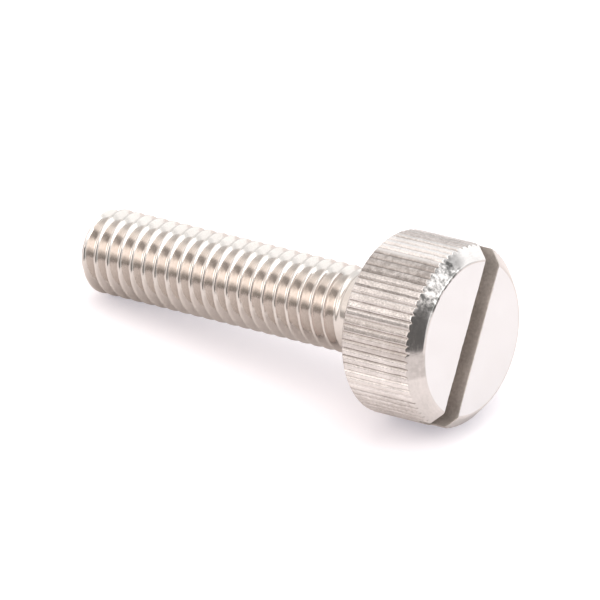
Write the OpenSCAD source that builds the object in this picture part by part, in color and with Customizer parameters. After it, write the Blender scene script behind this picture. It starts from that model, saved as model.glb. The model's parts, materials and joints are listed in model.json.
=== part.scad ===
// Adjusting screw: a straight-knurled round head with a driver slot, turned in one piece
// with a plain neck and a right-hand metric thread. It lies as it comes to rest on a bench,
// on the thread-side rim of its head and the last crest of its thread.
// Millimetres. +X runs along the bench towards the head, +Z is up, and the origin is on the
// bench, under the middle of the screw.

/* [Head] */
// Diameter over the knurl
head_d = 12.3; // [10:0.1:16]
// Height of the head
head_h = 6.2; // [4:0.1:10]
// Leg of the 45 degree bevel around the front face
bevel = 0.9; // [0.4:0.05:1.6]
// Radius of the rounded rim on the thread side
rim_radius = 0.5; // [0.45:0.05:0.9]
// Height of that round, where the knurl runs into it
rim_drop = 0.3; // [0.1:0.05:0.4]

/* [Knurl] */
// Number of straight grooves around the head
knurl_count = 71; // [40:1:90]
// Depth of a groove
knurl_depth = 0.13; // [0.06:0.01:0.16]
// Included angle of a groove
knurl_angle = 90; // [60:5:100]

/* [Slot] */
// Width of the driver slot
slot_w = 1.6; // [0.8:0.1:2.4]
// Depth of the driver slot
slot_depth = 1.85; // [0.6:0.05:2.4]
// Turn of the slot from upright, as the screw lies
slot_turn = 36; // [0:1:90]

/* [Shank] */
// Diameter over the thread crests, M6 of the usual 6g class
thread_d = 5.85; // [4.8:0.05:7]
// Pitch of the thread
thread_pitch = 1; // [0.7:0.05:1.25]
// Length from the underside of the head to the tip
shank_len = 24.4; // [14:0.2:40]
// Plain neck between the head and the thread
neck_len = 2.5; // [1:0.1:6]
// Length over which the thread groove runs out at the neck
runout_len = 0.7; // [0.3:0.1:1.5]
// Leg of the 45 degree chamfer at the tip
tip_chamfer = 0.6; // [0.3:0.05:1]
// Distance of a crest from the underside of the head, along the upper side
crest_offset = 0.05; // [0:0.05:0.95]

/* [Hidden] */
// Flat sides that approach one turn of the thread
thread_sides = 24;
// Turns of the wound skin beyond each end of the thread
spare_turns = 1.5;
// Radial step from the neck down to the thread crests
crest_step = 0.02;
// ISO profile: 60 degree flanks, crest flat of an eighth of the pitch, depth of 17/24 of
// the height of the sharp triangle
flank_angle = 60;
crest_flat = thread_pitch / 8;
thread_depth = 17 / 24 * thread_pitch / (2 * tan(flank_angle / 2));
flank_len = thread_depth * tan(flank_angle / 2);
// Overlap of pieces that are fused and overshoot of cutters
over = 1;

head_r = head_d / 2;
thread_r = thread_d / 2;
crest_r = thread_r - crest_step;

// The last crest that touches the bench, half a turn round from the upper side, with one of
// its flat sides
low_crest = crest_offset + thread_pitch / 2;
full_len = shank_len - tip_chamfer - crest_flat / 2;
tip_crest = low_crest + thread_pitch * floor((full_len - low_crest) / thread_pitch);
low_edge = tip_crest + crest_flat / 2 + thread_pitch / thread_sides / 2;
low_r = crest_r * cos(180 / thread_sides);

// Lie of the screw: on the edge of the rim's round and the far edge of the last crest
tilt = atan((head_r - low_r) / (low_edge + rim_drop));
lift = head_r * cos(tilt) - rim_drop * sin(tilt);
head_reach = (head_r - bevel) * sin(tilt) + head_h * cos(tilt);
tip_reach = (thread_r - tip_chamfer) * sin(tilt) + shank_len * cos(tilt);

$fn = 96;

// Puts the screw's own axis, +Z from the underside of the head to the tip, on the bench
module lay() {
    translate([(tip_reach - head_reach) / 2, 0, lift])
        rotate([0, -90 - tilt, 0])
            children();
}

// Corner points of the knurl: lands on the full radius with a V groove between each two
function knurl_outline() =
    let (
        step = 360 / knurl_count,
        half = asin(knurl_depth * tan(knurl_angle / 2) / head_r)
    )
    [for (i = [0:knurl_count - 1], p = [[-step / 2 + half, 0], [step / 2 - half, 0], [step / 2, 1]])
        (head_r - p[1] * knurl_depth) * [cos(180 + i * step + p[0]), sin(180 + i * step + p[0])]];

// Half section of the head's blank, with the bevel in front and the round at the rim. The
// round touches the underside and meets the knurl at the rim's drop.
module head_section() {
    round_x = head_r - sqrt(rim_radius ^ 2 - (rim_radius - rim_drop) ^ 2);
    difference() {
        translate([0, -head_h])
            square([head_r + over, head_h]);
        polygon([
            [head_r - bevel, -head_h],
            [head_r + 2 * over, -head_h],
            [head_r + 2 * over, -head_h + bevel + 2 * over]
        ]);
        translate([round_x, -rim_radius])
            difference() {
                square(2 * over);
                circle(r = rim_radius);
            }
    }
}

module head() {
    difference() {
        intersection() {
            translate([0, 0, -head_h - over])
                linear_extrude(height = head_h + 2 * over)
                    polygon(knurl_outline());
            rotate_extrude()
                head_section();
        }
        rotate([0, 0, slot_turn])
            translate([-head_d, -slot_w / 2, -head_h - over])
                cube([2 * head_d, slot_w, slot_depth + over]);
    }
}

// One turn's profile as [distance along the axis, share of the depth]
thread_profile = [
    [0, 0],
    [crest_flat, 0],
    [crest_flat + flank_len, 1],
    [thread_pitch - flank_len, 1]
];
corners = len(thread_profile);
thread_from = neck_len - spare_turns * thread_pitch;
thread_to = shank_len + spare_turns * thread_pitch;
first_row = floor((thread_from - crest_offset) / thread_pitch * thread_sides);
last_row = ceil((thread_to - crest_offset) / thread_pitch * thread_sides);
rows = last_row - first_row;

// Turn and place of row i, half a side on, so that a flat side faces the bench
function row_turn(i) = (i + first_row + 0.5) * 360 / thread_sides;
function row_z(i) = crest_offset - crest_flat / 2 + thread_pitch * row_turn(i) / 360;
function groove_share(z) = min(1, max(0, (z - neck_len) / runout_len));
function thread_point(i, p) =
    let (
        turn = row_turn(i),
        z = row_z(i) + p[0],
        r = crest_r - p[1] * thread_depth * groove_share(z)
    )
    [r * cos(turn), r * sin(turn), z];
// Point j of row i, where the corner after the last is the first one of the next turn
function thread_index(i, j) = j < corners ? i * corners + j : (i + thread_sides) * corners;

// The thread as one closed skin wound along the helix, longer than the shank at both ends
module thread_skin() {
    points = [for (i = [0:rows], p = thread_profile) thread_point(i, p)];
    count = len(points);
    skin = [for (i = [0:rows - 1], j = [0:corners - 1])
        if (j < corners - 1 || i < rows - thread_sides)
            [
                thread_index(i, j),
                thread_index(i, j + 1),
                thread_index(i + 1, j + 1),
                thread_index(i + 1, j)
            ]];
    start_loop = [
        for (i = [0:thread_sides]) thread_index(i, 0),
        for (j = [corners - 1:-1:1]) thread_index(0, j)
    ];
    end_loop = [
        for (i = [rows - thread_sides:rows]) thread_index(i, corners - 1),
        for (j = [corners - 2:-1:0]) thread_index(rows, j)
    ];
    loop_len = len(start_loop);
    polyhedron(
        points = concat(points, [[0, 0, row_z(0)], [0, 0, row_z(rows)]]),
        faces = concat(
            [for (q = skin) [q[0], q[1], q[2]]],
            [for (q = skin) [q[0], q[2], q[3]]],
            [for (k = [0:loop_len - 1]) [count, start_loop[k], start_loop[(k + 1) % loop_len]]],
            [for (k = [0:loop_len - 1]) [count + 1, end_loop[(k + 1) % loop_len], end_loop[k]]]
        )
    );
}

module thread() {
    intersection() {
        thread_skin();
        rotate_extrude()
            polygon([
                [0, -head_h / 2],
                [thread_r + over, -head_h / 2],
                [thread_r + over, shank_len - tip_chamfer - over],
                [thread_r - tip_chamfer, shank_len],
                [0, shank_len]
            ]);
    }
}

module adjusting_screw() {
    color([0.80, 0.77, 0.74])
        lay() {
            head();
            translate([0, 0, -over])
                cylinder(h = neck_len + over, r = thread_r);
            thread();
        }
}

adjusting_screw();
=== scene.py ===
import json
from functools import partial
import bpy
import bmesh
import numpy as np
from mathutils import Matrix, Vector


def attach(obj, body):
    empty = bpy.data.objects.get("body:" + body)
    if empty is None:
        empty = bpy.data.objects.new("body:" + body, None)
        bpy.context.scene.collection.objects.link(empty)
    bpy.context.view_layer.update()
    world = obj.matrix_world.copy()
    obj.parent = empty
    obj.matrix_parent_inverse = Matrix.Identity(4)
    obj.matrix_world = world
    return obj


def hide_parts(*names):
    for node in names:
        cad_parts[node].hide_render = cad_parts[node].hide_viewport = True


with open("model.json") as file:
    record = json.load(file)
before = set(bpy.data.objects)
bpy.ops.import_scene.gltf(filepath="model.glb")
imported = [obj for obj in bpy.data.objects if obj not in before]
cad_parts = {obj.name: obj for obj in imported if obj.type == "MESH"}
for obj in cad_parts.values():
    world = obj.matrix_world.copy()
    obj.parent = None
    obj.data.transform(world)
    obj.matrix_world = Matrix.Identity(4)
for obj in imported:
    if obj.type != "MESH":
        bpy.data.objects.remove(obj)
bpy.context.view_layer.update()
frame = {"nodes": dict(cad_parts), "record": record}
scene = bpy.context.scene
mm = 0.001  # a millimetre in metres
print("frame loaded with", sorted(frame["nodes"]))

# how the screw lies on the bench, from the frame's seat under the head: millimetres and radians
seat = next(mount for mount in frame["record"]["mounts"] if mount["name"] == "head_seat")
lie = {"along": seat["pos_m"][0] / mm, "lift": seat["pos_m"][2] / mm,
       "tilt": float(np.arctan2(-seat["axis"][2], -seat["axis"][0]))}


# The screw's own frame has z from the underside of the head to the tip and x upwards. It turns
# down by the tilt about y and moves onto the bench, and millimetres become metres.
def onBench(points):
    x, y, z = np.moveaxis(np.asarray(points, float), -1, 0)
    sine, cosine = np.sin(lie["tilt"]), np.cos(lie["tilt"])
    row = [lie["along"] - x * sine - z * cosine, y, lie["lift"] + x * cosine - z * sine]
    return np.stack(row, -1) * mm


# Corner numbers of the quads between neighbouring rows of a grid: row times columns plus column.
# With wrap the last column joins the first.
def gridQuads(rows, cols, wrap=False):
    i = np.arange(rows - 1)[:, None] * cols
    j = np.arange(cols if wrap else cols - 1)[None, :]
    k = (j + 1) % cols
    return np.stack([i + j, i + k, i + cols + k, i + cols + j], -1).reshape(-1, 4)


# Points from a radius, an angle and a height: x = r cos a, y = r sin a.
def polar(radius, angle, height):
    r, a, z = np.broadcast_arrays(radius, angle, height)
    return np.stack([r * np.cos(a), r * np.sin(a), z], -1)


finishes = ["knurl", "bevel", "face", "slot", "shank", "underside"]
surfaces = []  # (points, faces, finish) of each surface, in the screw's own frame


# Adds a grid of points as a surface, with a quad between each four neighbours.
def addGrid(points, finish, wrap=False):
    rows, cols = points.shape[:2]
    surfaces.append((points.reshape(-1, 3), gridQuads(rows, cols, wrap), finish))


# Adds a flat outline as a surface of one face, with its points in order.
def addOutline(points, finish):
    surfaces.append((points, np.arange(len(points))[None, :], finish))


# The head, its knurl and its slot in millimetres and degrees. perGroove is how many columns of the mesh
# a groove has, and one column of the shank stands for perCoarse of them. The rows say where the mesh
# has its rows: shares of a stretch, distances in from the full radius (bevelRows), angles (turnRows,
# edgeRows), or only how many (rimRows). The rings are radii on the underside. depthSpread is a share,
# landLean a slope, and the slot's edgeWaves, phaseSpread and endFade shape its uneven edge.
head = {"radius": 6.15, "height": 6.2, "bevel": 0.9, "edgeRound": 0.3, "scallopRound": 0.045,
        "rimRadius": 0.5, "rimDrop": 0.3, "rimInset": 0.05, "perGroove": 14, "perCoarse": 7,
        "sideRows": (0, 0.25, 0.5, 0.75, 0.97), "rimRows": 7, "wallRows": (0.08, 0.5, 0.97),
        "scallopRows": (1, 0.65, 0.35, 0), "bevelRows": (0.25, 0.55), "turnRows": (45, 30, 15, 0),
        "faceRows": (0, 0.02, 0.5, 0.98, 1), "fineRing": 4.6, "coarseRings": (4.45, 3.2)}
knurl = {"count": 71, "depth": 0.13, "depthSpread": 0.2, "wander": 0.02, "landSpread": 0.012,
         "landLean": 0.13, "landHalf": 0.14, "edgeSoft": 0.010, "rootSoft": 0.014, "seed": 12}
slot = {"width": 1.6, "depth": 1.85, "turn": 36.0, "edgeRound": 0.055, "edgeRows": (0, 30, 60, 90),
        "edgeWander": 0.020, "edgeWaves": (11, 28, 61, 120), "phaseSpread": 6.3, "endFade": 6,
        "cornerPasses": 4, "seed": 3}
diagonal = 0.7071  # cosine of the bevel's 45 degrees


# Radius of the knurled side at an angle: the full radius less a V groove of 90 degrees, whose depth
# falls off with the distance from the groove's middle, softened at its root and edges. Each groove
# wanders a little in place and depth. Each land lies a little low and leans a little to one side,
# which fades out inside the grooves beside it.
def knurlRadius(angle):
    rng = np.random.default_rng(knurl["seed"])
    depths = knurl["depth"] * (1 - knurl["depthSpread"] * rng.random(knurl["count"]))
    places = knurl["wander"] * (rng.random(knurl["count"]) - 0.5) * 2
    lands = knurl["landSpread"] * rng.random(knurl["count"])
    leans = knurl["landLean"] * (rng.random(knurl["count"]) - 0.5) * 2
    turn = (angle - np.pi) * knurl["count"] / (2 * np.pi)
    arc = 2 * np.pi * head["radius"] / knurl["count"]
    groove = np.floor(turn).astype(int) % knurl["count"]
    across = (turn - np.floor(turn) - 0.5) * arc
    offset = np.hypot(across - places[groove], knurl["rootSoft"]) - knurl["rootSoft"]
    cut = knurl["edgeSoft"] * np.logaddexp(0, (depths[groove] - offset) / knurl["edgeSoft"])
    land = np.round(turn).astype(int) % knurl["count"]
    fromLand = (turn - np.round(turn)) * arc
    fade = np.clip((arc / 2 - np.abs(fromLand)) / (arc / 2 - knurl["landHalf"]), 0, 1)
    low = lands[land] + np.abs(leans[land]) * knurl["landHalf"] + leans[land] * fromLand
    return head["radius"] - cut - low * fade


count = knurl["count"] * head["perGroove"]
halfSlot = slot["width"] / 2
bevelSum = head["radius"] - head["bevel"] + head["height"]  # on the bevel, radius less height is this
floorHeight = slot["depth"] - head["height"]
slotTurn = np.radians(slot["turn"])

# columns around the head: even steps, with the four nearest ones moved onto the slot's walls
step = 2 * np.pi / count
ring = np.sort((np.pi + np.pi / knurl["count"] - slotTurn + step * np.arange(count)) % (2 * np.pi))
wallEnds = np.array([0, np.pi, np.pi, 2 * np.pi])
side = np.array([1, -1, 1, -1])
reach = np.full(len(side), head["radius"])
for _ in range(slot["cornerPasses"]):  # a wall meets the knurl where radius * sine is half the slot
    cornerAngle = wallEnds + side * np.arcsin(halfSlot / reach)
    reach = knurlRadius(cornerAngle + slotTurn)
nearest = np.abs(ring[:, None] - cornerAngle).argmin(0)
ring[nearest] = cornerAngle
ring, nearest = np.roll(ring, -nearest[0]), (nearest - nearest[0]) % count
ring = np.where(ring < ring[0], ring + 2 * np.pi, ring)  # rising all the way round
around = ring + slotTurn


# The knurled side under the slot's floor: straight down the grooves and round the rim to the
# underside, a profile of radius and height for each angle. The rim is an arc that starts where it
# reaches the groove's own radius.
def knurledSide():
    rho = knurlRadius(around)
    rim, drop = head["rimRadius"], head["rimDrop"]
    middle = head["radius"] - np.sqrt(rim ** 2 - (rim - drop) ** 2)
    start = np.arccos((rho - middle) / rim)
    rimTop = rim * (np.sin(start) - 1)
    r, z = [], []
    for t in head["sideRows"]:
        r.append(rho)
        z.append(floorHeight + t * (rimTop - floorHeight))
    for t in np.linspace(0, 1, head["rimRows"]):
        b = start + t * (np.pi / 2 - start)
        r.append(middle + rim * np.cos(b))
        z.append(rim * (np.sin(b) - 1))
    r.append(np.full_like(rho, middle - head["rimInset"]))
    z.append(np.zeros_like(rho))
    return polar(np.array(r), around, np.array(z))


lowerSide = knurledSide()
addGrid(lowerSide, "knurl", wrap=True)


# Rows of the front from the slot's floor up the knurl, over the scalloped edge, up the 45 degree
# bevel and round onto the flat face. Each row is (radius, height, outward normal, rounding of the
# slot's edge) for every column; the scallop comes from the bevel meeting the groove's own radius.
def frontRows(rho):
    same = np.ones_like(rho)
    corner, soft, e = rho - bevelSum, head["scallopRound"], slot["edgeRound"]
    rows = [(rho, floorHeight * same, 1, 0, 0)]
    for t in head["wallRows"]:
        rows.append((rho, floorHeight + t * (corner + soft - floorHeight), 1, 0, e))
    for t in head["scallopRows"]:
        back = soft * diagonal * (1 - t) ** 2
        lean = np.radians(45 * (1 - t))
        rows.append((rho - back, corner - back + soft * t ** 2, np.cos(lean), -np.sin(lean), e))
    for inset in head["bevelRows"]:
        r = head["radius"] - inset
        rows.append((r * same, (r - bevelSum) * same, diagonal, -diagonal, e))
    faceEdge = head["radius"] - head["bevel"] - head["edgeRound"] * np.tan(np.pi / 8)  # flat ends here
    for g in np.radians(head["turnRows"]):
        r = faceEdge + head["edgeRound"] * np.sin(g)
        z = head["edgeRound"] * (1 - np.cos(g)) - head["height"]
        rows.append((r * same, z * same, np.sin(g), -np.cos(g), e))
    r, z = np.array([q[0] for q in rows]), np.array([q[1] for q in rows])
    return (r, z) + tuple(np.array([q[k] for q in rows])[:, None] for k in (2, 3, 4))


knurlRows = 1 + len(head["wallRows"]) + len(head["scallopRows"])  # rows of the front on the knurl


# A little unevenness along the slot's edges: sine waves of fixed phase, each weaker than the one
# before, that die out at both ends.
def raggedEdge(along, half):
    waves = np.array(slot["edgeWaves"])
    phase = np.random.default_rng(slot["seed"] + half).random(len(waves)) * slot["phaseSpread"]
    weight = 1 / (1 + np.arange(len(waves)))
    uneven = (np.sin(along[:, None] * waves + phase) * weight).sum(1)
    return slot["edgeWander"] * uneven * np.clip((1 - np.abs(along)) * slot["endFade"], 0, 1)


# One half of the head's front, on one side of the slot: knurl and bevel, flat face, and the slot's
# rounded edge and wall. u runs along the slot and v across it. Each row runs from one end of the
# wall to the other, at the angle where radius * sine is half the slot; the face's columns drop
# straight from the arc to the slot.
def frontHalf(half):
    first, last = nearest[2 * half], nearest[2 * half + 1]
    columns = ring[first:last + 1] - half * np.pi
    r, z, normalR, normalZ, e = frontRows(knurlRadius(columns + slotTurn + half * np.pi))
    share = (columns - columns[0]) / (columns[-1] - columns[0])
    start = np.arcsin((halfSlot + e) / r[:, :1])
    end = np.pi - np.arcsin((halfSlot + e) / r[:, -1:])
    front = polar(r, start + share * (end - start), z)

    arc = front[-1]
    along = arc[:, 0] / arc[0, 0]  # from 1 to -1 along the slot
    chordV = halfSlot + slot["edgeRound"] + raggedEdge(along, half)
    chord = np.stack([arc[:, 0], np.minimum(chordV, arc[:, 1]), arc[:, 2]], -1)
    face = arc + np.array(head["faceRows"])[:, None, None] * (chord - arc)

    # the edge runs up one end, along the face and down the other end: its sharp corner, and the wall
    sharp, inner = [], []
    for column, sign in ((0, 1), (-1, -1)):
        u, h = np.sqrt(r[:, column] ** 2 - halfSlot ** 2), z[:, column]
        sharp.append(np.stack([sign * u, halfSlot + 0 * u, h], -1))
        inner.append(np.stack([sign * (u - e[:, 0] * normalR[:, 0]), halfSlot + 0 * u,
                               h - e[:, 0] * normalZ[:, 0]], -1))
    run = (1 + along[:, None]) / 2

    # joins the two ends of an edge by a straight line between their tops
    def path(ends):
        top = ends[1][-1] + run * (ends[0][-1] - ends[1][-1])
        return np.concatenate([ends[0][:-1], top, ends[1][-2::-1]])

    outer = np.concatenate([front[:-1, 0], chord, front[-2::-1, -1]])
    sharp, inner = path(sharp), path(inner)
    t = np.radians(slot["edgeRows"])[:, None, None]
    roundEdge = sharp + (1 - np.sin(t)) * (outer - sharp) + (1 - np.cos(t)) * (inner - sharp)
    return front, face, roundEdge, inner


# Turns a surface from the slot's frame, or from the other half of it, into the screw's frame.
def fromSlot(points, half):
    a = slotTurn + half * np.pi
    u, v, z = np.moveaxis(points, -1, 0)
    return np.stack([u * np.cos(a) - v * np.sin(a), u * np.sin(a) + v * np.cos(a), z], -1)


floorLoop = []
for half in (0, 1):
    front, face, roundEdge, wall = (fromSlot(p, half) for p in frontHalf(half))
    addGrid(front[:knurlRows], "knurl")
    addGrid(front[knurlRows - 1:], "bevel")
    addGrid(face, "face")
    addGrid(roundEdge, "slot")
    addOutline(wall, "slot")
    openEnd = np.arange(nearest[2 * half + 1] + 1, nearest[2] if half == 0 else count)
    floorLoop += [wall[[0, -1]], lowerSide[0, openEnd]]
addOutline(np.concatenate(floorLoop), "slot")
print("head:", sum(len(faces) for _, faces, _ in surfaces), "faces")

# The neck and the thread in millimetres. The profile's rows are shares of the pitch from crest to
# crest, the tip's rings are shares of its radius, and filletRows and spareTurns are counts.
shank = {"radius": 2.925, "crestStep": 0.02, "stepRun": 0.15, "pitch": 1.0, "length": 24.4, "neck": 2.5,
         "runout": 0.7, "tipChamfer": 0.6, "crestOffset": 0.05, "crestSoft": 0.010, "rootSoft": 0.030,
         "fillet": 0.1, "filletRows": 5, "spareTurns": 2, "tipRings": (1, 0.985, 0.5, 0),
         "profileRows": (0, 0.048, 0.072, 0.11, 0.22, 0.33, 0.42, 0.5, 0.58, 0.67, 0.78, 0.89,
                         0.928, 0.952)}
threadDepth = 17 / 24 * shank["pitch"] * np.sqrt(0.75)  # 17/24 of the sharp triangle's height


# Radius of the neck and thread at an angle and a height: the depth grows along 60 degree flanks from
# an eighth-pitch crest to the root, both softened. The groove fades in over the run-out after the
# neck, and a 45 degree cone trims the tip.
def shankRadius(angle, z):
    turns = (z - shank["crestOffset"]) / shank["pitch"] - angle / (2 * np.pi)
    fromCrest = np.abs(turns - np.round(turns)) * shank["pitch"]
    soft, root = shank["crestSoft"], shank["rootSoft"]
    depth = soft * np.logaddexp(0, (fromCrest - shank["pitch"] / 16) / soft) * np.sqrt(3)
    depth = threadDepth - root * np.logaddexp(0, (threadDepth - depth) / root)
    fade = np.clip((z - shank["neck"]) / shank["runout"], 0, 1)
    lower = np.clip((z - shank["neck"]) / shank["stepRun"], 0, 1) * shank["crestStep"]
    trimmed = shank["radius"] + shank["length"] - shank["tipChamfer"] - z
    return np.minimum(shank["radius"] - lower - np.maximum(depth, 0) * fade, trimmed)


# Neck and thread as one grid whose rows follow the helix: row z = place in the profile + pitch *
# angle / full turn, held between the fillet and the tip. The seam joins each row to the row one
# turn on.
def threadedShank(angle):
    places = np.array(shank["profileRows"])
    lead = angle / (2 * np.pi)
    first = int(np.floor(-lead[-1])) - shank["spareTurns"]
    last = int(np.ceil(shank["length"] / shank["pitch"] - lead[0])) + shank["spareTurns"]
    base = (np.arange(first, last)[:, None] + places).ravel() * shank["pitch"] + shank["crestOffset"]
    z = np.clip(base[:, None] + shank["pitch"] * lead, shank["fillet"], shank["length"])
    points = polar(shankRadius(angle, z), angle, z)
    rows, cols, perTurn = len(base), len(angle), len(places)
    i = np.arange(rows - perTurn - 1)
    seam = np.stack([i * cols + cols - 1, (i + perTurn) * cols, (i + perTurn + 1) * cols,
                     (i + 1) * cols + cols - 1], -1)
    surfaces.append((points.reshape(-1, 3), np.concatenate([gridQuads(rows, cols), seam]), "shank"))
    return points[-1]


coarse = around[::head["perCoarse"]]
tipEdge = threadedShank(coarse)
tipShares = np.array(shank["tipRings"])[:, None, None] * [1, 1, 0] + [0, 0, 1]
addGrid(tipEdge * tipShares, "underside", wrap=True)  # flat end of the tip

# underside of the head: a ring of fine columns, rings of coarse ones, and the fillet onto the neck
fineRing = polar(head["fineRing"], around, 0.0)
addGrid(np.stack([lowerSide[-1], fineRing]), "underside", wrap=True)
t = np.radians(np.linspace(0, 90, shank["filletRows"]))
filletR = shank["radius"] + shank["fillet"] * (1 - np.sin(t))
filletZ = shank["fillet"] * (1 - np.cos(t))
underR = np.concatenate([head["coarseRings"], filletR])[:, None]
underZ = np.concatenate([np.zeros(len(head["coarseRings"])), filletZ])[:, None]
under = polar(underR, coarse, underZ)
addGrid(under, "underside", wrap=True)

# each face between the two kinds of column has the fine points from one coarse column to the next
j = np.arange(len(coarse))
finePoints = (np.arange(head["perCoarse"] + 1) + head["perCoarse"] * j[:, None]) % count
coarsePoints = count + np.stack([(j + 1) % len(coarse), j], -1)
fan = np.concatenate([finePoints, coarsePoints], 1)
surfaces.append((np.concatenate([fineRing, under[0]]), fan, "underside"))
print("shank and underside:", sum(len(faces) for _, faces, _ in surfaces), "faces in all")

weld = {"merge": 2e-7, "sliver": 1e-8, "sharpAngle": 40}  # metres, and degrees from which an edge is sharp


# One welded mesh from all the surfaces. Points that meet become one, rows that were held together at
# the ends vanish, and the closed skin gets its normals outwards.
def weldScrew(name):
    faces, slots, start = [], [], 0
    for points, corners, finish in surfaces:
        faces += (corners + start).tolist()
        slots += [finishes.index(finish)] * len(corners)
        start += len(points)
    mesh = bpy.data.meshes.new(name)
    mesh.from_pydata(onBench(np.concatenate([s[0] for s in surfaces])).tolist(), [], faces)
    mesh.polygons.foreach_set("material_index", np.array(slots, np.int32))
    work = bmesh.new()
    work.from_mesh(mesh)
    bmesh.ops.remove_doubles(work, verts=work.verts, dist=weld["merge"])
    bmesh.ops.dissolve_degenerate(work, edges=work.edges, dist=weld["sliver"])
    bmesh.ops.recalc_face_normals(work, faces=work.faces)
    openEdges = sum(not e.is_manifold for e in work.edges)
    work.to_mesh(mesh)
    work.free()
    mesh.polygons.foreach_set("use_smooth", np.ones(len(mesh.polygons), bool))
    mesh.set_sharp_from_angle(angle=np.radians(weld["sharpAngle"]))
    piece = bpy.data.objects.new(name, mesh)
    scene.collection.objects.link(piece)
    mesh.calc_loop_triangles()
    print(name, len(mesh.loop_triangles), "triangles, open edges:", openEdges)
    return piece


piece = weldScrew("adjustingScrew")

# Finishes of the plating. light and dark are its two tones, and grain (mottle), lathe lines (streak) and
# painted shade mix them; each painted shade darkens the tone where shade falls, in the knurl's grooves,
# the thread's roots, deep in the slot and towards the slot's ends, and is read by radius or by height:
# where it starts, over how far, amount. The painted reflection bands are dark and bright reflections of
# the room painted onto the knurl and the bevel; they have the angle of their middle from the top, half
# their width in degrees, how patchy they are and their colour. lathe and grain are the heights of the
# lines and of the grain in millimetres, with their scales; arc is how fast a line breaks off around the
# axis, and stretch how the grain is drawn out along it. rough is the range of roughness.
plating = {
    "knurl": {"light": (0.945, 0.91, 0.90), "dark": (0.41, 0.375, 0.355), "rough": (0.13, 0.28),
              "mottle": 1.5, "streak": 0.0, "lathe": 0.0, "latheScale": 12, "arc": 0.0,
              "grain": 0.0044, "grainScale": 9, "stretch": 0.65,
              # painted shade: the tone darker down in the knurl's grooves
              "paintedShade": (("radius", 6.10, -0.09, 0.72),),
              # painted reflections: three dark and two bright bands of the room's reflection laid around
              # the knurl
              "paintedReflection": ((-21.5, 12, 0.4, (0.27, 0.245, 0.23)), (-70, 12, 0.4, (0.50, 0.455, 0.43)),
                       (18, 9, 0.4, (0.40, 0.37, 0.36)), (-6, 9, 0.2, (0.98, 0.96, 0.955)),
                       (-102, 8, 0.2, (0.98, 0.945, 0.93)))},
    "bevel": {"light": (0.85, 0.81, 0.795), "dark": (0.50, 0.48, 0.47), "rough": (0.08, 0.20),
              "mottle": 0.5, "streak": 0.5, "lathe": 0.0008, "latheScale": 7, "arc": 0.6,
              "grain": 0.0014, "grainScale": 5, "stretch": 1.0, "paintedShade": (),
              # painted reflections: a dark patch at -25 degrees and a darker band at -84 degrees on the
              # bevel
              "paintedReflection": ((-25, 24, 1.0, (0.17, 0.165, 0.16)), (-84, 10, 0.3, (0.40, 0.375, 0.365)))},
    "face": {"light": (0.875, 0.885, 0.91), "dark": (0.78, 0.775, 0.79), "rough": (0.20, 0.28),
             "mottle": 0.5, "streak": 0.0, "lathe": 0.0005, "latheScale": 14, "arc": 0.0,
             "grain": 0.0004, "grainScale": 6, "stretch": 1.0, "paintedShade": (), "paintedReflection": ()},
    "slot": {"light": (0.88, 0.825, 0.785), "dark": (0.42, 0.385, 0.36), "rough": (0.45, 0.6),
             "mottle": 1.1, "streak": 0.0, "lathe": 0.0, "latheScale": 10, "arc": 0.0,
             "grain": 0.0025, "grainScale": 5, "stretch": 1.0,
             # painted shade: the slot's walls dark deep down near its floor and darker towards its ends
             "paintedShade": (("height", -4.62, 0.10, 1.0), ("radius", 3.9, 1.9, 0.6)), "paintedReflection": ()},
    "shank": {"light": (0.78, 0.735, 0.70), "dark": (0.62, 0.58, 0.55), "rough": (0.10, 0.19),
              "mottle": 0.8, "streak": 0.0, "lathe": 0.0004, "latheScale": 14, "arc": 0.0,
              "grain": 0.0010, "grainScale": 6, "stretch": 1.0,
              # painted shade: the thread's roots darker
              "paintedShade": (("radius", 2.9, -0.6, 0.35),), "paintedReflection": ()},
    "underside": {"light": (0.80, 0.74, 0.71), "dark": (0.70, 0.64, 0.61), "rough": (0.20, 0.30),
                  "mottle": 0.5, "streak": 0.8, "lathe": 0.0015, "latheScale": 8, "arc": 0.0,
                  "grain": 0.0006, "grainScale": 7, "stretch": 1.0, "paintedShade": (), "paintedReflection": ()},
}

# What all the finishes share: inputs of their noises, the light tone's least share and how much the slow
# noise adds to it, how much of a painted reflection band's colour shows, how sharply its patches and ends
# stand out, and the stretch of noise over which roughness changes.
noises = {"lathe": {"Detail": 3.0, "Roughness": 0.6}, "grain": {"Detail": 4.0, "Roughness": 0.65},
          "slow": {"Scale": 0.6, "Detail": 2.0}, "patch": {"Scale": 2.4, "Detail": 3.0, "Roughness": 0.6}}
tones = {"least": 0.25, "slow": 0.7, "paintedReflection": 0.5, "patchContrast": 5.0, "bandEnds": 4.0,
         "roughFrom": 0.3, "roughTo": 0.7}


# A math node in a node tree, whose inputs are numbers or other nodes' outputs; gives its output.
def mathNode(tree, operation, *values):
    made = tree.nodes.new("ShaderNodeMath")
    made.operation = operation
    for socket, value in zip(made.inputs, values):
        if isinstance(value, (int, float)):
            socket.default_value = value
        else:
            tree.links.new(value, socket)
    return made.outputs[0]


# A value held between two limits: the lesser of the high one and the greater of the low one and it.
def heldBetween(tree, value, low, high):
    return mathNode(tree, "MINIMUM", mathNode(tree, "MAXIMUM", value, low), high)


# A mix of two colours, first * (1 - factor) + second * factor; the first may be another mix's output.
def colourMix(tree, first, second, factor):
    made = tree.nodes.new("ShaderNodeMix")
    made.data_type = "RGBA"
    if isinstance(first, tuple):
        made.inputs["A"].default_value = (*first, 1)
    else:
        tree.links.new(first, made.inputs["A"])
    made.inputs["B"].default_value = (*second, 1)
    tree.links.new(factor, made.inputs["Factor"])
    return made.outputs["Result"]
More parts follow.
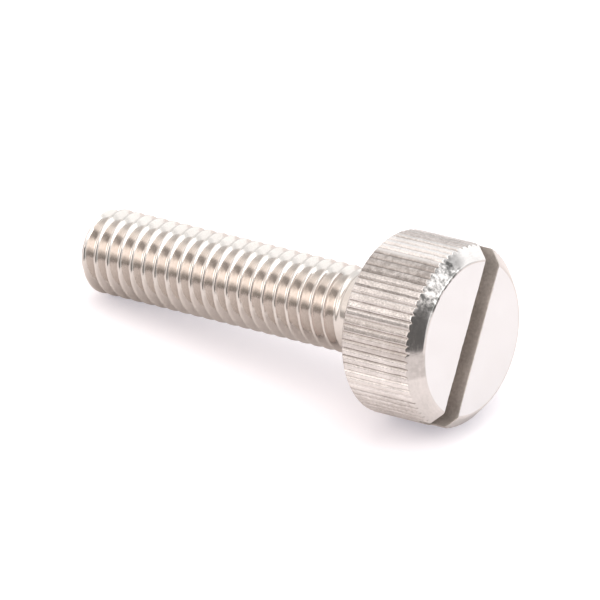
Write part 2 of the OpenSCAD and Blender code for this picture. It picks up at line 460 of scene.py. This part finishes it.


# A metal of two close tones. Object coordinates turn into the screw's own frame in millimetres; noise
# read at (distance from the axis, height) gives lathe lines around the axis, noise read in space
# gives the grain of the plating, and a slow noise mixes the tones. Painted shades take the tone down along
# a ramp of radius or height, and painted reflection bands lay a dark or bright colour over it near an
# angle, in soft patches.
def platedMetal(name, look):
    material = bpy.data.materials.new(name)
    material.use_nodes = True
    tree = material.node_tree
    nodes, links = tree.nodes, tree.links
    math, held = partial(mathNode, tree), partial(heldBetween, tree)
    shader = nodes["Principled BSDF"]
    shader.inputs["Metallic"].default_value = 1.0

    # a node of a kind with these input values, fed by an output where one is given
    def node(kind, fed=None, **inputs):
        made = nodes.new(kind)
        for key, value in inputs.items():
            made.inputs[key].default_value = value
        if fed is not None:
            links.new(fed, made.inputs["Vector"])
        return made

    sine, cosine = np.sin(lie["tilt"]), np.cos(lie["tilt"])
    turn = Matrix(((-sine, 0, cosine), (0, 1, 0), (-cosine, 0, -sine)))
    place = node("ShaderNodeMapping", nodes.new("ShaderNodeTexCoord").outputs["Object"],
                 Scale=(1 / mm, 1 / mm, 1 / mm), Rotation=turn.to_euler(),
                 Location=-(turn @ Vector((lie["along"], 0, lie["lift"])))).outputs["Vector"]
    x, y, z = node("ShaderNodeSeparateXYZ", place).outputs
    radius = math("SQRT", math("ADD", math("MULTIPLY", x, x), math("MULTIPLY", y, y)))
    angle = math("ARCTAN2", y, x)
    turned = nodes.new("ShaderNodeCombineXYZ")
    links.new(radius, turned.inputs[0])
    links.new(math("MULTIPLY", angle, look["arc"]), turned.inputs[1])
    links.new(z, turned.inputs[2])

    noise = "ShaderNodeTexNoise"
    drawn = node("ShaderNodeMapping", place, Scale=(1, 1, look["stretch"])).outputs["Vector"]
    lathe = node(noise, turned.outputs[0], Scale=look["latheScale"], **noises["lathe"]).outputs[0]
    grain = node(noise, drawn, Scale=look["grainScale"], **noises["grain"]).outputs[0]
    slow = node(noise, place, **noises["slow"]).outputs[0]
    patch = node(noise, place, **noises["patch"]).outputs[0]

    share = math("ADD", math("MULTIPLY", slow, tones["slow"]), tones["least"])
    for lines, weight in ((grain, look["mottle"]), (lathe, look["streak"])):
        share = math("ADD", share, math("MULTIPLY", math("SUBTRACT", lines, 0.5), weight))
    # painted shade: the tone taken down along a ramp of radius or height
    for kind, start, run, amount in look["paintedShade"]:
        deep = math("DIVIDE", math("SUBTRACT", radius if kind == "radius" else z, start), run)
        share = math("SUBTRACT", share, math("MULTIPLY", held(deep, 0.0, 1.0), amount))
    tone = colourMix(tree, look["dark"], look["light"], held(share, 0.0, 1.0))
    uneven = held(math("MULTIPLY", math("SUBTRACT", patch, 0.5), tones["patchContrast"]), -0.5, 0.5)
    # painted reflections: a dark or bright colour laid over the tone near an angle, in soft patches
    for middle, half, patchy, colour in look["paintedReflection"]:
        away = math("ABSOLUTE", math("SUBTRACT", angle, float(np.radians(middle))))
        inside = math("SUBTRACT", 1.0, math("DIVIDE", away, float(np.radians(half))))
        cover = held(math("MULTIPLY", inside, tones["bandEnds"]), 0.0, 1.0)
        shown = math("MULTIPLY_ADD", uneven, patchy, tones["paintedReflection"])
        tone = colourMix(tree, tone, colour, math("MULTIPLY", shown, cover))
    links.new(tone, shader.inputs["Base Color"])

    rough = nodes.new("ShaderNodeMapRange")
    rough.inputs["From Min"].default_value = tones["roughFrom"]
    rough.inputs["From Max"].default_value = tones["roughTo"]
    rough.inputs["To Min"].default_value, rough.inputs["To Max"].default_value = look["rough"]
    halves = math("ADD", math("MULTIPLY", lathe, 0.5), math("MULTIPLY", grain, 0.5))
    links.new(halves, rough.inputs["Value"])
    links.new(rough.outputs[0], shader.inputs["Roughness"])

    bump = node("ShaderNodeBump", Strength=1.0, Distance=mm)
    height = math("ADD", math("MULTIPLY", lathe, look["lathe"]), math("MULTIPLY", grain, look["grain"]))
    links.new(height, bump.inputs["Height"])
    links.new(bump.outputs[0], shader.inputs["Normal"])
    return material


for finish in finishes:
    piece.data.materials.append(platedMetal("nickel_" + finish, plating[finish]))
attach(piece, "root")
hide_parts("adjusting_screw")
print("finishes:", finishes)

# the bench of pale paper: its width in metres, its colour, and what the camera alone sees added to it
bench = {"size": 8.0, "colour": (0.84, 0.80, 0.795), "liftColour": (0.94, 0.95, 1.08), "lift": 0.31}


# A square sheet at the height of the screw's lowest point, matt, with a little light of its own that
# only the camera sees.
def layBench():
    places = np.empty(3 * len(piece.data.vertices), np.float32)
    piece.data.vertices.foreach_get("co", places)
    lowest, edge = float(places[2::3].min()), bench["size"] / 2
    mesh = bpy.data.meshes.new("bench")
    mesh.from_pydata([(-edge, -edge, lowest), (edge, -edge, lowest), (edge, edge, lowest),
                      (-edge, edge, lowest)], [], [(0, 1, 2, 3)])
    paper = bpy.data.materials.new("benchPaper")
    paper.use_nodes = True
    tree = paper.node_tree
    matt = tree.nodes["Principled BSDF"]
    matt.inputs["Base Color"].default_value = (*bench["colour"], 1)
    matt.inputs["Roughness"].default_value = 1.0
    matt.inputs["Specular IOR Level"].default_value = 0.0
    matt.inputs["Emission Color"].default_value = (*bench["liftColour"], 1)
    seen = tree.nodes.new("ShaderNodeLightPath").outputs["Is Camera Ray"]
    tree.links.new(mathNode(tree, "MULTIPLY", seen, bench["lift"]), matt.inputs["Emission Strength"])
    mesh.materials.append(paper)
    floor = bpy.data.objects.new("bench", mesh)
    scene.collection.objects.link(floor)
    return floor


floor = layBench()

# the room by height above the bench (sine of the elevation), and its lit panels and dark boards as
# azimuth and elevation of the middle, half width and half height, softness (degrees) and brightness;
# azimuth runs from +X towards +Y; the side at coolSide is cool and the one across from it warm;
# curveTop is the brightness at the full height of the curve
room = {"warm": (1.055, 0.985, 0.935), "cool": (0.975, 0.985, 0.985), "coolSide": 60, "curveTop": 4.0,
        "byHeight": ((0.0, 0.80), (0.12, 0.84), (0.30, 1.1), (0.85, 1.1), (0.94, 1.95), (1.0, 2.25)),
        "panels": {"lowLeft": (-105, 2, 38, 12, 6, 0.46), "leftBox": (-107, 36, 23, 13, 7, 2.2),
                   "overLeftBox": (-143, 61, 26, 10, 8, 0.55), "rightWindow": (18, 44, 26, 20, 8, 1.65),
                   "windowSill": (20, 33, 24, 9, 6, 3.4), "rightGap": (56, 43, 9, 8, 6, 0.75),
                   "backWindow": (76, 15, 22, 17, 7, 1.5), "darkBoard": (-42, 18, 26, 22, 11, 0.15)}}


# A room that is a function of direction alone: a curve of height, over which each panel is laid with
# a soft-edged mask of its azimuth and elevation, level + (brightness - level) * mask. Seen straight by
# the camera it is white.
def softRoom():
    world = bpy.data.worlds.new("softRoom")
    world.use_nodes = True
    scene.world = world
    tree = world.node_tree
    nodes, links = tree.nodes, tree.links
    math = partial(mathNode, tree)
    nodes.clear()
    look = nodes.new("ShaderNodeTexCoord").outputs["Generated"]

    # the three parts of a direction
    def parts(direction):
        split = nodes.new("ShaderNodeSeparateXYZ")
        links.new(direction, split.inputs[0])
        return split.outputs

    # 1 within half of the middle and 0 outside it, with a smooth step as wide as soft between
    def mask(value, middle, half, soft):
        ease = nodes.new("ShaderNodeMapRange")
        ease.interpolation_type = "SMOOTHSTEP"
        links.new(math("ABSOLUTE", math("SUBTRACT", value, middle)), ease.inputs["Value"])
        ease.inputs["From Min"].default_value = half - soft / 2
        ease.inputs["From Max"].default_value = half + soft / 2
        ease.inputs["To Min"].default_value, ease.inputs["To Max"].default_value = 1.0, 0.0
        return ease.outputs[0]

    x, y, z = parts(look)
    curve = nodes.new("ShaderNodeFloatCurve")
    points = curve.mapping.curves[0].points
    while len(points) < len(room["byHeight"]):
        points.new(0.5, 0.5)
    for point, (height, bright) in zip(points, room["byHeight"]):
        point.location = (height, bright / room["curveTop"])
        point.handle_type = "VECTOR"
    curve.mapping.update()
    links.new(z, curve.inputs["Value"])
    level = math("MULTIPLY", curve.outputs[0], room["curveTop"])
    elevation = math("ARCSINE", z)
    for *degrees, bright in room["panels"].values():
        at, up, wide, high, soft = (float(np.radians(v)) for v in degrees)
        turned = nodes.new("ShaderNodeVectorRotate")
        turned.rotation_type = "Z_AXIS"
        turned.inputs["Angle"].default_value = -at
        links.new(look, turned.inputs["Vector"])
        ahead, aside, _ = parts(turned.outputs[0])
        azimuth = math("ARCTAN2", aside, ahead)
        cover = math("MULTIPLY", mask(azimuth, 0.0, wide, soft), mask(elevation, up, high, soft))
        level = math("MULTIPLY_ADD", math("SUBTRACT", bright, level), cover, level)

    coolSide = float(np.radians(room["coolSide"]))
    towards = math("MULTIPLY_ADD", y, float(np.sin(coolSide)),
                   math("MULTIPLY_ADD", x, float(np.cos(coolSide)), 0.5))
    shine = nodes.new("ShaderNodeBackground")
    tint = colourMix(tree, room["warm"], room["cool"], heldBetween(tree, towards, 0.0, 1.0))
    links.new(tint, shine.inputs["Color"])
    links.new(level, shine.inputs["Strength"])
    white = nodes.new("ShaderNodeBackground")
    white.inputs["Color"].default_value = (1, 1, 1, 1)
    mix = nodes.new("ShaderNodeMixShader")
    links.new(nodes.new("ShaderNodeLightPath").outputs["Is Camera Ray"], mix.inputs[0])
    links.new(shine.outputs[0], mix.inputs[1])
    links.new(white.outputs[0], mix.inputs[2])
    links.new(mix.outputs[0], nodes.new("ShaderNodeOutputWorld").inputs["Surface"])


softRoom()

# a long lens, placed from the middle of the flat face as it lies in the picture: millimetres, degrees,
# and metres for how far it sees
view = {"azimuth": 36.5595, "elevation": 31.7785, "right": 11.1995, "down": 2.5367, "away": 651.04,
        "lens": 600.0, "sensor": 36.0, "farthest": 20}


# The camera turns by the azimuth from looking along +Y and looks down by the elevation. It stands where
# the middle of the face is so far ahead of it, to its right and down.
def placeCamera():
    a, e = np.radians(view["azimuth"]), np.radians(view["elevation"])
    right = Vector((np.cos(a), np.sin(a), 0))
    look = Vector((-np.sin(a) * np.cos(e), np.cos(a) * np.cos(e), -np.sin(e)))
    down = look.cross(right)
    faceMiddle = Vector(onBench((0, 0, -head["height"])))
    back = mm * (view["right"] * right + view["down"] * down + view["away"] * look)
    axes = Matrix((right, -down, -look)).transposed().to_4x4()
    camera = bpy.data.objects.new("camera", bpy.data.cameras.new("camera"))
    camera.data.lens, camera.data.sensor_width = view["lens"], view["sensor"]
    camera.data.clip_end = view["farthest"]
    camera.matrix_world = Matrix.Translation(faceMiddle - back) @ axes
    scene.collection.objects.link(camera)
    return camera


scene.camera = placeCamera()
scene.view_settings.view_transform = "Standard"

print("bench, light and camera set")
